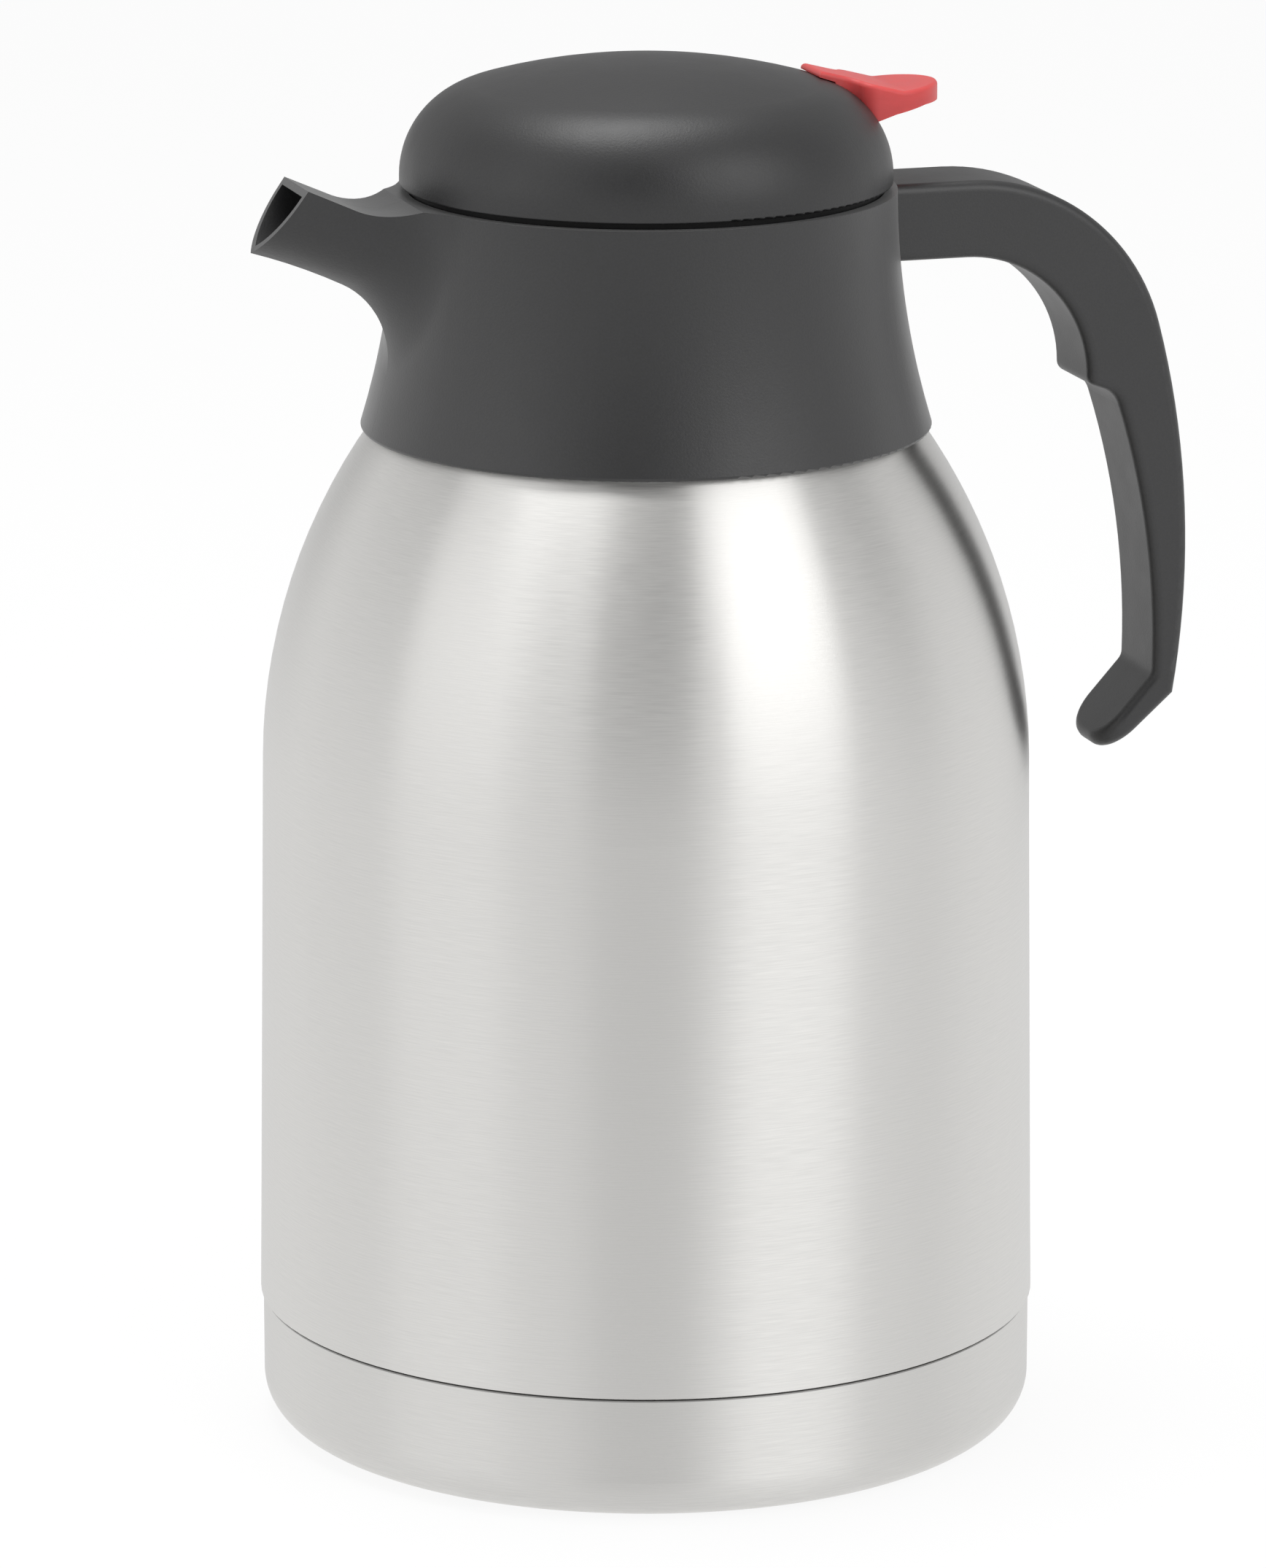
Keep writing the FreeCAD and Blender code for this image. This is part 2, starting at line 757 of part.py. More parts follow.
def make_tenon(body):
    """The block on the collar that the handle is pushed over, with the hole for its screw."""
    start = rim_radius - s.collar_wall / 2
    block = outline(body, "tenon_outline", "XZ_Plane", rectangle(start, tenon_end, tenon_bottom, tenon_top))
    extrude(body, block, "tenon", s.tenon_width)
    depth = screw_end + s.screw_fit - tenon_bottom
    hole = circle_sketch(body, "tenon_hole", "XY_Plane", screw_reach, 0, screw_hole, tenon_bottom)
    extrude(body, hole, "tenon_bore", depth, "Pocket", symmetric=False, flip=True)


def make_neck_gasket():
    inner = neck_radius - s.gasket_width
    turned_body("neck_gasket", [
        (inner, s.lip_height),
        (neck_radius, s.lip_height),
        (neck_radius, collar_deck_bottom),
        (inner, collar_deck_bottom),
    ])


def add_thread(body, name, radius, rib, bottom):
    """Three ribs wound on one lead; rib is positive outwards, and each starts a little inside the wall."""
    overlap = s.thread_gap
    base = radius - overlap if rib.value > 0 else radius + overlap
    tip = radius + rib
    sketch = outline(body, name + "_outline", "XZ_Plane", [
        (base, bottom),
        (tip, bottom + s.thread_slope),
        (tip, bottom + s.thread_width - s.thread_slope),
        (base, bottom + s.thread_width),
    ])
    rib_feature = add_feature(body, "AdditiveHelix", sketch, name)
    rib_feature.ReferenceAxis = (sketch, ["V_Axis"])
    rib_feature.Mode = "pitch-height-angle"
    rib_feature.Pitch = s.thread_lead.value
    rib_feature.Height = s.thread_rise.value
    bind(rib_feature, "Pitch", s.thread_lead)
    bind(rib_feature, "Height", s.thread_rise)
    doc.recompute()
    return repeat_around(body, rib_feature, 3, name + "_starts")


# The stopper's ribs lie under those of the neck ring, so that they hold it down.
ring_thread_bottom = ledge_top + s.thread_bottom + s.thread_width + s.thread_gap
stopper_thread_bottom = ledge_top + s.thread_bottom


def make_neck_ring():
    body = turned_body("neck_ring", [
        (ledge_radius, ring_bottom),
        (ring_radius + s.ring_bead + s.ring_fit, ring_bottom),
        (ring_radius, ring_bottom + s.ring_ledge_thickness),
        (ring_radius, collar_deck_top),
        (ring_radius + s.ring_flange_width, collar_deck_top),
        (ring_radius + s.ring_flange_width, ring_flange_top),
        (ring_bore, ring_flange_top),
        (ring_bore, ledge_top),
        (ledge_radius, ledge_top),
    ])
    add_thread(body, "ring_rib", ring_bore, -s.thread_rib, ring_thread_bottom)


def tangent_point(centre, radius, end, outer_radius):
    """Where an arc of radius about centre runs on into a wider arc that ends at end."""
    reach = outer_radius - radius
    across = end[0] - centre[0]
    down = end[1] - centre[1]
    apart = root(across * across + down * down)
    along = (reach * reach - outer_radius * outer_radius + apart * apart) / (apart * 2)
    aside = root(reach * reach - along * along)
    outer_u = (across * along + down * aside) / apart
    outer_v = (down * along - across * aside) / apart
    return centre[0] - outer_u * radius / reach, centre[1] - outer_v * radius / reach


def make_handle():
    body = new_body("handle")
    root_start = bore_radius
    corner_start = rim_radius + s.handle_corner_start
    inner_start = rim_radius + s.handle_inner_start
    heel = (rim_radius + s.handle_heel_reach, handle_top - s.handle_heel_drop)
    corner_centre = (corner_start, handle_top - s.handle_corner_round)
    corner_end = tangent_point(corner_centre, s.handle_corner_round, heel, s.handle_grip_round)
    stop_height = handle_top - s.handle_stop_drop
    inner_rise = stop_height - (handle_under - s.handle_inner_round)
    inner_span = root(s.handle_inner_round * s.handle_inner_round - inner_rise * inner_rise)
    stop = (inner_start + inner_span, stop_height)
    stop_foot = (stop[0] + s.handle_stop_depth, stop_height - s.handle_stop_fall)
    palm = (heel[0] - s.handle_palm_back, heel[1] + s.handle_palm_rise)
    hook_top = (heel[0] - s.handle_hook_top_back, heel[1] - s.handle_hook_top_drop)
    hook_bottom = (heel[0] - s.handle_hook_bottom_back, heel[1] - s.handle_hook_bottom_drop)
    profile = outline(body, "handle_outline", "XZ_Plane", [
        (root_start, handle_under),
        (inner_start, handle_under, s.handle_inner_round, -1),
        stop,
        (*stop_foot, s.handle_palm_round, -1),
        palm,
        hook_top,
        hook_bottom,
        (*heel, s.handle_grip_round, 1),
        (*corner_end, s.handle_corner_round, 1),
        (corner_start, handle_top),
        (root_start, handle_top),
    ])
    form = extrude(body, profile, "handle_form", s.handle_width)
    form = round_edges(body, form, crosses_at(stop), s.handle_stop_round, "stop_tip")
    form = round_edges(body, form, crosses_at(stop_foot), s.handle_stop_foot_round, "stop_foot")
    form = round_edges(body, form, crosses_at(palm), s.handle_palm_corner, "palm_corner")
    form = round_edges(body, form, joins(hook_top, hook_bottom), s.handle_toe_round, "toe_sides")
    round_edges(body, form, runs_along_handle, s.handle_edge_round, "handle_edges")
    fit = s.handle_seat_fit
    seat = outline(body, "handle_seat_outline", "XZ_Plane", [
        (0, collar_bottom),
        (collar_bottom_radius + fit, collar_bottom),
        (collar_bottom_radius + fit, collar_flare_bottom, s.collar_flare, -1),
        (rim_radius + fit, rim_height),
        (0, rim_height),
    ])
    turn(body, seat, "handle_seat", "Groove")
    socket_width = s.tenon_width + s.tenon_fit * 2
    socket = outline(body, "socket_outline", "XZ_Plane", rectangle(
        bore_radius, tenon_end + s.tenon_fit, tenon_bottom - s.tenon_fit, tenon_top + s.tenon_fit))
    extrude(body, socket, "socket", socket_width, "Pocket")
    drill_handle(body)


def crosses_at(*spots):
    """A test for straight edges that cross a piece at one of these places of its outline."""
    places = [(spot[0].value, spot[1].value) for spot in spots]

    def chosen(edge, shape):
        box = edge.BoundBox
        if box.XLength > 1e-3 or box.ZLength > 1e-3:
            return False
        return any(math.hypot(box.XMin - x, box.ZMin - z) < 1e-3 for x, z in places)

    return chosen


def joins(first, second):
    """A test for the edges of a piece's sides that run from one place of its outline to the other."""
    ends = sorted((spot[0].value, spot[1].value) for spot in (first, second))

    def chosen(edge, shape):
        found = sorted((vertex.X, vertex.Z) for vertex in edge.Vertexes)
        return len(found) == 2 and all(math.dist(spot, end) < 1e-3 for spot, end in zip(found, ends))

    return chosen


def runs_along_handle(edge, shape):
    """True for the edges around the two flat sides, but not those at the collar's end."""
    side = SIZES["handle_width"] / 2
    box = edge.BoundBox
    on_side = abs(abs(box.YMin) - side) < 1e-6 and abs(box.YMax - box.YMin) < 1e-6
    at_root = box.XMax < bore_radius.value + 1e-6
    return on_side and not at_root


head_seat = handle_under + s.screw_recess


def drill_handle(body):
    """The screw's hole and the recess for its head, from the underside."""
    hole = circle_sketch(body, "screw_hole", "XY_Plane", screw_reach, 0, screw_hole, handle_under)
    extrude(body, hole, "screw_bore", s.tenon_floor, "Pocket", symmetric=False, flip=True)
    head_hole = s.screw_head_radius + s.screw_head_fit
    recess = circle_sketch(body, "head_outline", "XY_Plane", screw_reach, 0, head_hole, head_seat)
    extrude(body, recess, "head_recess", s.handle_depth, "Pocket", symmetric=False)


def make_handle_screw():
    body = new_body("handle_screw")
    head_bottom = head_seat - s.screw_head_height
    head = circle_sketch(body, "head", "XY_Plane", screw_reach, 0, s.screw_head_radius, head_bottom)
    extrude(body, head, "screw_head", s.screw_head_height, symmetric=False)
    shank = circle_sketch(body, "shank", "XY_Plane", screw_reach, 0, s.screw_radius, head_bottom)
    extrude(body, shank, "screw_shank", screw_end - head_bottom, symmetric=False)


plug_radius = bore_radius - s.plug_clearance
plug_bottom = rim_height - s.plug_depth
lid_deck_bottom = rim_height - s.lid_deck_depth
lid_deck_top = lid_deck_bottom + s.lid_deck_thickness
guide_bottom = lid_deck_bottom - s.guide_drop
guide_top = lid_deck_top + s.guide_rise
window_bottom = ring_flange_top + s.window_sill
window_top = plug_bottom - s.window_head
groove_bottom = plug_bottom + s.plug_lip
groove_top = groove_bottom + s.side_seal_height
groove_radius = plug_radius - s.side_seal_depth
spigot_radius = dome_inner - s.spigot_fit
bead_bottom = seal_bottom + (s.face_seal_thickness - s.face_seal_bead) / 2
bead_top = bead_bottom + s.face_seal_bead
seal_inner = ledge_radius + s.ring_bead
seal_outer = stopper_radius - s.seal_fit


def make_stopper_body():
    body = turned_body("stopper_body", [
        (s.stem_radius + s.guide_fit, guide_bottom),
        (s.guide_radius, guide_bottom),
        (s.guide_radius, lid_deck_bottom),
        (stopper_bore, lid_deck_bottom),
        (stopper_bore, stopper_bottom),
        (stopper_radius, stopper_bottom),
        (stopper_radius, plug_bottom),
        (plug_radius, plug_bottom),
        (plug_radius, groove_bottom),
        (groove_radius, groove_bottom),
        (groove_radius, groove_top),
        (plug_radius, groove_top),
        (plug_radius, dome_bottom),
        (spigot_radius, dome_bottom),
        (spigot_radius, dome_bottom + s.spigot_height),
        (spigot_radius - s.spigot_wall, dome_bottom + s.spigot_height),
        (spigot_radius - s.spigot_wall, lid_deck_top),
        (s.guide_radius, lid_deck_top),
        (s.guide_radius, guide_top),
        (s.stem_radius + s.guide_fit, guide_top),
    ])
    half = s.window_width / 2
    window = outline(body, "window_outline", "YZ_Plane", rectangle(
        -half, half, window_bottom, window_top))
    opening = extrude(body, window, "window", plug_radius, "Pocket", symmetric=False, flip=True)
    doc.recompute()
    repeat_around(body, opening, 4, "windows")
    add_thread(body, "stopper_rib", stopper_radius, s.thread_rib, stopper_thread_bottom)
    make_ears(body)


def make_ears(body):
    """Two ears on the deck that carry the lever's pin."""
    inner = s.lever_half_width + s.ear_gap
    outer = inner + s.ear_thickness
    left = pivot_reach - s.boss_radius
    right = pivot_reach + s.boss_radius
    profile = outline(body, "ear_outline", "XZ_Plane", [
        (left, lid_deck_top - s.ear_thickness / 2),
        (right, lid_deck_top - s.ear_thickness / 2),
        (right, pivot_height, s.boss_radius, 1),
        (pivot_reach, pivot_height + s.boss_radius, s.boss_radius, 1),
        (left, pivot_height),
    ])
    extrude(body, profile, "ear_block", outer * 2)
    gap = outline(body, "ear_gap_outline", "XZ_Plane", rectangle(
        left - s.ear_gap, right + s.ear_gap, lid_deck_top, pivot_height + s.boss_radius + s.ear_gap))
    extrude(body, gap, "ear_gap", inner * 2, "Pocket")
    hole = circle_sketch(
        body, "ear_hole", "XZ_Plane", pivot_reach, pivot_height, s.pin_radius + s.pin_seat_fit)
    extrude(body, hole, "ear_bore", (outer + s.ear_gap) * 2, "Pocket")


def make_seat_plate():
    outer = stopper_bore - s.seat_fit
    inner = seal_inner - s.seal_fit
    groove = inner - s.face_seal_bead
    skirt_top = stopper_bottom + s.seat_skirt
    turned_body("seat_plate", [
        (s.port_radius, seal_bottom),
        (inner, seal_bottom),
        (inner, bead_bottom - s.seal_fit),
        (groove, bead_bottom - s.seal_fit),
        (groove, bead_top + s.seal_fit),
        (inner, bead_top + s.seal_fit),
        (inner, stopper_bottom),
        (outer, stopper_bottom),
        (outer, skirt_top),
        (outer - s.stopper_wall, skirt_top),
        (outer - s.stopper_wall, seat_floor),
        (s.port_radius + s.seat_rim_width, seat_floor),
        (s.port_radius + s.seat_rim_width, seat_top),
        (s.port_radius, seat_top),
    ])


def make_seals():
    """The stopper's face seal, with its bead, and the lid's side seal."""
    bead = seal_inner - s.face_seal_bead
    seal_top = seal_bottom + s.face_seal_thickness
    turned_body("face_seal", [
        (seal_inner, seal_bottom),
        (seal_outer, seal_bottom),
        (seal_outer, seal_top),
        (seal_inner, seal_top),
        (seal_inner, bead_top),
        (bead, bead_top),
        (bead, bead_bottom),
        (seal_inner, bead_bottom),
    ])
    inner = groove_radius + s.seal_fit
    outer = bore_radius - s.seal_fit
    bottom = groove_bottom + s.seal_fit
    top = groove_top - s.seal_fit
    half = (top - bottom) / 2
    turned_body("side_seal", [
        (inner, bottom),
        (outer - half, bottom, half, 1),
        (outer, bottom + half, half, 1),
        (outer - half, top),
        (inner, top),
    ])


# The lever's places in its own plane: the lip lies over the dome, the web stands in the slot.
arm_half_width = s.lever_half_width - s.arm_inset
lever_lip = dome_radius - s.lever_lip_inset
lip_bottom = crown_centre + root(dome_crown * dome_crown - lever_lip * lever_lip) + s.lever_lip_gap
lip_top = lip_bottom + s.lever_lip_thickness
web_front = lever_lip + s.lever_lip_length
flare_start = dome_radius - s.lever_flare_inset
flare_end = flare_start + s.lever_flare_length
lever_tip = dome_radius + s.lever_tip_overhang


def flare_plan(front, fit, beyond):
    """The lever's plan set out by fit: narrow from front, flared by two arcs a side, then beyond."""
    half_length = s.lever_flare_length / 2
    half_width = (s.tongue_half_width - s.lever_half_width) / 2
    arc = (half_length * half_length + half_width * half_width) / (half_width * 2)
    narrow = s.lever_half_width + fit
    wide = s.tongue_half_width + fit
    middle_u = flare_start + half_length - fit * half_length / arc
    middle_v = narrow + half_width - fit * half_width / arc
    return [
        (front, -narrow),
        (flare_start, -narrow, arc - fit, -1),
        (middle_u, -middle_v, arc + fit, 1),
        (flare_end, -wide),
        *beyond,
        (flare_end, wide, arc + fit, 1),
        (middle_u, middle_v, arc - fit, -1),
        (flare_start, narrow),
        (front, narrow),
    ]


def make_lid_dome():
    """The domed cover and the lever's slot in it."""

    def crown_point(arc):
        return corner_r * arc / crown_span, crown_centre + corner_rise * arc / crown_span

    outer_r, outer_z = crown_point(dome_crown)
    inner_r, inner_z = crown_point(dome_crown - s.dome_wall)
    body = turned_body("lid_dome", [
        (dome_inner, dome_bottom),
        (dome_radius - s.dome_edge_round, dome_bottom, s.dome_edge_round, 1),
        (dome_radius, dome_bottom + s.dome_edge_round),
        (dome_radius, corner_z, s.dome_corner, 1),
        (outer_r, outer_z, dome_crown, 1),
        (0, dome_top),
        (0, dome_top - s.dome_wall, dome_crown - s.dome_wall, -1),
        (inner_r, inner_z, s.dome_corner - s.dome_wall, -1),
        (dome_inner, corner_z),
    ])
    wide = s.tongue_half_width + s.slot_fit
    end = dome_radius + s.dome_wall
    floor = pivot_height - s.slot_sink
    plan = flare_plan(web_front - s.slot_play, s.slot_fit, [(end, -wide), (end, wide)])
    slot = outline(body, "slot_outline", "XY_Plane", plan, floor)
    extrude(body, slot, "slot", dome_top - floor + s.dome_wall, "Pocket", symmetric=False, flip=True)


def make_lever():
    """The thumb piece, cut to its plan, with the pivot boss and the fork that lifts the valve."""
    body = new_body("lever")
    form_end = lever_tip + s.lever_edge_round
    tip_top = dome_top - s.lever_tip_drop
    valley = (dome_radius + s.lever_valley_overhang, dome_top - s.lever_valley_drop)
    profile = outline(body, "thumb_outline", "XZ_Plane", [
        (lever_lip, lip_bottom),
        (web_front, lip_bottom - s.lever_lip_fall),
        (web_front, pivot_height),
        (pivot_reach, pivot_height - s.boss_radius / 2),
        (pivot_reach + s.boss_radius, pivot_height),
        (dome_radius - s.lever_root_inset, pivot_height + s.lever_root_rise),
        (dome_radius + s.lever_belly_overhang, pivot_height + s.lever_belly_rise),
        (form_end, tip_top - s.lever_tip_thickness),
        (form_end, tip_top),
        valley,
        (lever_lip, lip_top),
    ])
    margin = s.tongue_half_width
    form = extrude(body, profile, "thumb_form", margin * 3)
    round_edges(body, form, crosses_at(valley), s.lever_valley_round, "valley_round")
    straight_end = lever_tip - s.tongue_nose
    nose = [
        (straight_end, -s.tongue_half_width, s.tongue_round, 1),
        (lever_tip, 0, s.tongue_round, 1),
        (straight_end, s.tongue_half_width),
    ]
    plan = outline(body, "plan_outline", "XY_Plane", flare_plan(lever_lip, as_size(0), nose), dome_top)
    add_outline(plan, rectangle(lever_lip - margin, form_end + margin, -margin * 2, margin * 2), "frame")
    cut = extrude(body, plan, "plan_cut", dome_top - rim_height, "Pocket", symmetric=False)
    round_edges(body, cut, borders_lever_top, s.lever_edge_round, "top_rounds")
    boss = circle_sketch(body, "boss_outline", "XZ_Plane", pivot_reach, pivot_height, s.boss_radius)
    extrude(body, boss, "boss", arm_half_width * 2)
    top = pivot_height + s.arm_depth / 2
    bottom = pivot_height - s.arm_depth / 2
    arm = outline(body, "arm_outline", "XZ_Plane", rectangle(0, pivot_reach, bottom, top))
    extrude(body, arm, "arm", arm_half_width * 2)
    bump = circle_sketch(body, "bump_outline", "XZ_Plane", 0, pivot_height, s.bump_radius)
    extrude(body, bump, "bump", arm_half_width * 2)
    fork = outline(body, "fork_outline", "XY_Plane", rectangle(
        -s.bump_radius * 2, s.fork_length, -s.fork_half_gap, s.fork_half_gap), pivot_height)
    extrude(body, fork, "fork_gap", (s.boss_radius + s.arm_depth) * 2, "Pocket")
    hole = circle_sketch(
        body, "pivot_outline", "XZ_Plane", pivot_reach, pivot_height, s.pin_radius + s.pin_fit)
    extrude(body, hole, "pivot_bore", margin * 3, "Pocket")


def borders_lever_top(edge, shape):
    """True for an edge between one of the two top faces and an upright face."""
    middle_z = [face.normalAt(*face.Surface.parameter(face.CenterOfMass)).z
                for face in shape.ancestorsOfType(edge, Part.Face)]
    return max(middle_z) > 0.8 and min(abs(z) for z in middle_z) < 1e-3


def make_lever_pin():
    body = new_body("lever_pin")
    length = (s.lever_half_width + s.ear_gap + s.ear_thickness) * 2
    circle = circle_sketch(body, "pin_outline", "XZ_Plane", pivot_reach, pivot_height, s.pin_radius)
    extrude(body, circle, "pin", length)


def make_valve():
    """The stem with its barb and flange, the cap that the lever lifts, the disc and the spring."""
    barb_bottom = disc_bottom - s.stem_barb_height
    stem_end = cap_bottom + s.cap_thickness + s.stem_top_stand
    turned_body("valve_stem", [
        (0, barb_bottom),
        (s.stem_neck_radius, barb_bottom),
        (s.stem_barb_radius, disc_bottom - s.disc_fit),
        (s.stem_neck_radius, disc_bottom - s.disc_fit),
        (s.stem_neck_radius, stem_flange_bottom),
        (s.stem_flange_radius, stem_flange_bottom),
        (s.stem_flange_radius, stem_flange_top),
        (s.stem_radius, stem_flange_top),
        (s.stem_radius, cap_bottom),
        (s.stem_top_radius, cap_bottom),
        (s.stem_top_radius, stem_end),
        (0, stem_end),
    ])
    hole = s.stem_top_radius + s.cap_fit
    turned_body("lift_cap", [
        (hole, cap_bottom),
        (s.cap_radius, cap_bottom),
        (s.cap_radius, cap_bottom + s.cap_thickness),
        (hole, cap_bottom + s.cap_thickness),
    ])
    hole = s.stem_neck_radius + s.disc_fit
    turned_body("valve_disc", [
        (hole, disc_bottom),
        (s.disc_radius, disc_bottom),
        (s.disc_radius, disc_top),
        (hole, disc_top),
    ])
    body = new_body("valve_spring")
    bottom = stem_flange_top + s.spring_wire_radius + s.spring_end_gap
    top = guide_bottom - s.spring_wire_radius - s.spring_end_gap
    wire = circle_sketch(body, "wire_outline", "XZ_Plane", s.spring_radius, bottom, s.spring_wire_radius)
    coil = add_feature(body, "AdditiveHelix", wire, "coil")
    coil.ReferenceAxis = (wire, ["V_Axis"])
    coil.Mode = "height-turns-angle"
    coil.Height = (top - bottom).value
    coil.Turns = s.spring_turns.value
    bind(coil, "Height", top - bottom)
    bind(coil, "Turns", s.spring_turns)


def check_and_export():
    """Stop on any failed feature or bad solid, then write one STEP file per body."""
    doc.recompute()
    for item in doc.Objects:
        if "Invalid" in item.State or "Error" in item.State:
            raise RuntimeError("%s did not build: %s" % (item.Label, item.State))
    os.makedirs("parts", exist_ok=True)
    for body in doc.findObjects("PartDesign::Body"):
        shape = body.Shape
        if shape.isNull() or not shape.isValid() or len(shape.Solids) != 1:
            raise RuntimeError("%s is not one valid solid" % body.Label)
        shape.exportStep("parts/%s.step" % body.Label)
        print("%-16s %9.1f mm3" % (body.Label, shape.Volume))


make_base_cup()
make_outer_shell()
make_inner_flask()
make_jacket()
make_collar()
make_neck_gasket()
make_neck_ring()
make_handle()
make_handle_screw()
make_stopper_body()
make_seat_plate()
make_seals()
make_lid_dome()
make_lever()
make_lever_pin()
make_valve()
check_and_export()
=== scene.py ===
"""Looks of a vacuum jug: brushed steel flask, moulded collar, handle and lid, red thumb lever."""

import math

import bmesh
import bpy
from bpy.props import FloatProperty, FloatVectorProperty, IntProperty, PointerProperty
from mathutils import Matrix, Vector


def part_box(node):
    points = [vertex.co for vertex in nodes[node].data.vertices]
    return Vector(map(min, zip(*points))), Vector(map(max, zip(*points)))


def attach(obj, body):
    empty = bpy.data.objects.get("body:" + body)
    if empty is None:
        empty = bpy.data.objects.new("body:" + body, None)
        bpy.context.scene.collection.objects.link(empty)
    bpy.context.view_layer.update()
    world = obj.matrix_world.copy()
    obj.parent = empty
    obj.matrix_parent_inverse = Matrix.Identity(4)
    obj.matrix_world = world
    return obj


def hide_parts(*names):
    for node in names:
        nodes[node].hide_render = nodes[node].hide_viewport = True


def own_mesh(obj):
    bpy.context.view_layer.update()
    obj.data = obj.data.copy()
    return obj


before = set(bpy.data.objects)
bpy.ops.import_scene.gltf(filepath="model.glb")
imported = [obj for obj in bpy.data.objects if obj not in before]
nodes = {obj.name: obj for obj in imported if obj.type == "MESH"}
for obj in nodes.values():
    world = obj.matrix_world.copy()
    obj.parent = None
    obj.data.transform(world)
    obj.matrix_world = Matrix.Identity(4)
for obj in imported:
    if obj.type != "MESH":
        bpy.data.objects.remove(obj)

bl_info = {
    "name": "Vacuum jug looks",
    "version": (1, 0, 0),
    "blender": (4, 5, 0),
    "location": "View3D > Sidebar > Jug",
    "description": "Finishes and stage for a steel vacuum jug with a moulded collar and lid",
    "category": "Object",
}

# The part of a noise value's range that is used, since it seldom goes beyond it
NOISE_LOW = 0.3
NOISE_HIGH = 0.7

# Brushed steel: the radius at which the marks are unrolled, and how fine and coarse marks are mixed
BRUSH_RADIUS = 0.07
FINE_MARKS = 0.8
COARSE_MARKS = 0.2
COARSE_GRAIN = 5.0
# Share of the steel's colour left in the painted shade along the seam between base and shell
SEAM_PAINTED_SHADE = 0.45
GRAIN_DEPTH = 0.00004
FLASK_GRAIN_DEPTH = 0.00003

# Moulded plastic: how specks and clouds are mixed, how much wider the specks are on the hidden pieces,
# and where the parting line starts, towards the spout
SPECKS = 0.8
CLOUDS = 0.2
CLOUD_SIZE = 0.02
RUB_SIZE = 0.006
MOULD_DEPTH = 0.00005
INNER_MOULD_DEPTH = 0.00003
INNER_TEXTURE = 2.0
PARTING_START = -0.03
# Share of the moulding's colour left in the painted shade along the parting line
PARTING_PAINTED_SHADE = 0.15

# Colours of the small metal pieces
TURNED_STEEL = (0.6, 0.6, 0.6)
SOLDER = (0.5, 0.5, 0.52)
GETTER = (0.2, 0.19, 0.18)

# Sides of the spring's round wire
WIRE_SIDES = 12

# Dark parts of the studio in degrees from the camera's heading: start, end and the fade at each.
# An end past a full turn is never reached.
BEHIND_CAMERA = (-19.0, 17.0, 2.5)
RIGHT_SIDE = (84.0, 106.0, 10.0)
FAR_SIDE = (140.0, 400.0, 20.0)
RIGHT_SHARE = 0.65

# Their heights as the sine of the angle above the floor. An end above 1 is never reached.
DARK_HEIGHT = (0.25, 0.85, 0.2)
CEILING_HEIGHT = (0.35, 2.0, 0.3)

# Lamps: name, place, width and height in metres, and power in watts
LAMPS = (
    ("top_box", (-0.1, 0.18, 1.3), 0.7, 0.5, 6.5),
    ("right_box", (0.59, -1.08, 0.99), 0.95, 1.0, 6.0),
    ("left_box", (-1.25, -0.25, 0.85), 1.0, 1.2, 2.2),
)
LAMP_AIM = (0.0, 0.0, 0.13)

# Camera sensor in millimetres, and the furthest that it sees in metres
SENSOR_WIDTH = 36.0
SIGHT_END = 50.0


def colour_property(name, description, default):
    return FloatVectorProperty(
        name=name, description=description, default=default, subtype="COLOR", size=3, min=0.0, max=1.0)


def length_property(name, description, default):
    return FloatProperty(
        name=name, description=description, default=default, min=0.0, unit="LENGTH", subtype="DISTANCE")


def share_property(name, description, default):
    return FloatProperty(name=name, description=description, default=default, subtype="FACTOR")


def angle_property(name, description, degrees):
    return FloatProperty(
        name=name, description=description, default=math.radians(degrees), subtype="ANGLE", unit="ROTATION")


class JugLooks(bpy.types.PropertyGroup):
    """Colours and texture sizes of the jug."""
    steel: colour_property("Steel", "Colour of the brushed steel", (0.71, 0.703, 0.685))
    plastic: colour_property("Moulding", "Colour of the collar, handle and lid", (0.0105, 0.0105, 0.0112))
    lever: colour_property("Lever", "Colour of the thumb lever", (0.55, 0.068, 0.068))
    seal: colour_property("Seal", "Colour of the silicone seals", (0.55, 0.55, 0.53))
    inner: colour_property("Inner moulding", "Colour of the hidden mouldings", (0.005, 0.005, 0.0052))
    grain: length_property("Steel grain", "Height of one brush mark on the steel", 0.00022)
    mould_texture: length_property("Mould texture", "Width of one speck of the moulded texture", 0.0004)
    # The parting line is a groove in the bump, darkened with painted shade
    parting_line: length_property("Parting line", "Width of the mould's parting line", 0.0005)
    # The dark line at the seam is painted shade, standing in for the shadow in the gap between base and
    # shell
    painted_seam_shade: length_property("Seam line", "Height of the dark line between base and shell", 0.0005)


class JugSpring(bpy.types.PropertyGroup):
    """Sizes of the valve spring; its height and width come from the frame."""
    wire: length_property("Wire", "Thickness of the spring's wire", 0.001)
    turns: FloatProperty(name="Turns", description="Turns of the spring from end to end", default=7.0)
    steps: IntProperty(name="Steps", description="Faces along one turn of the wire", default=32)


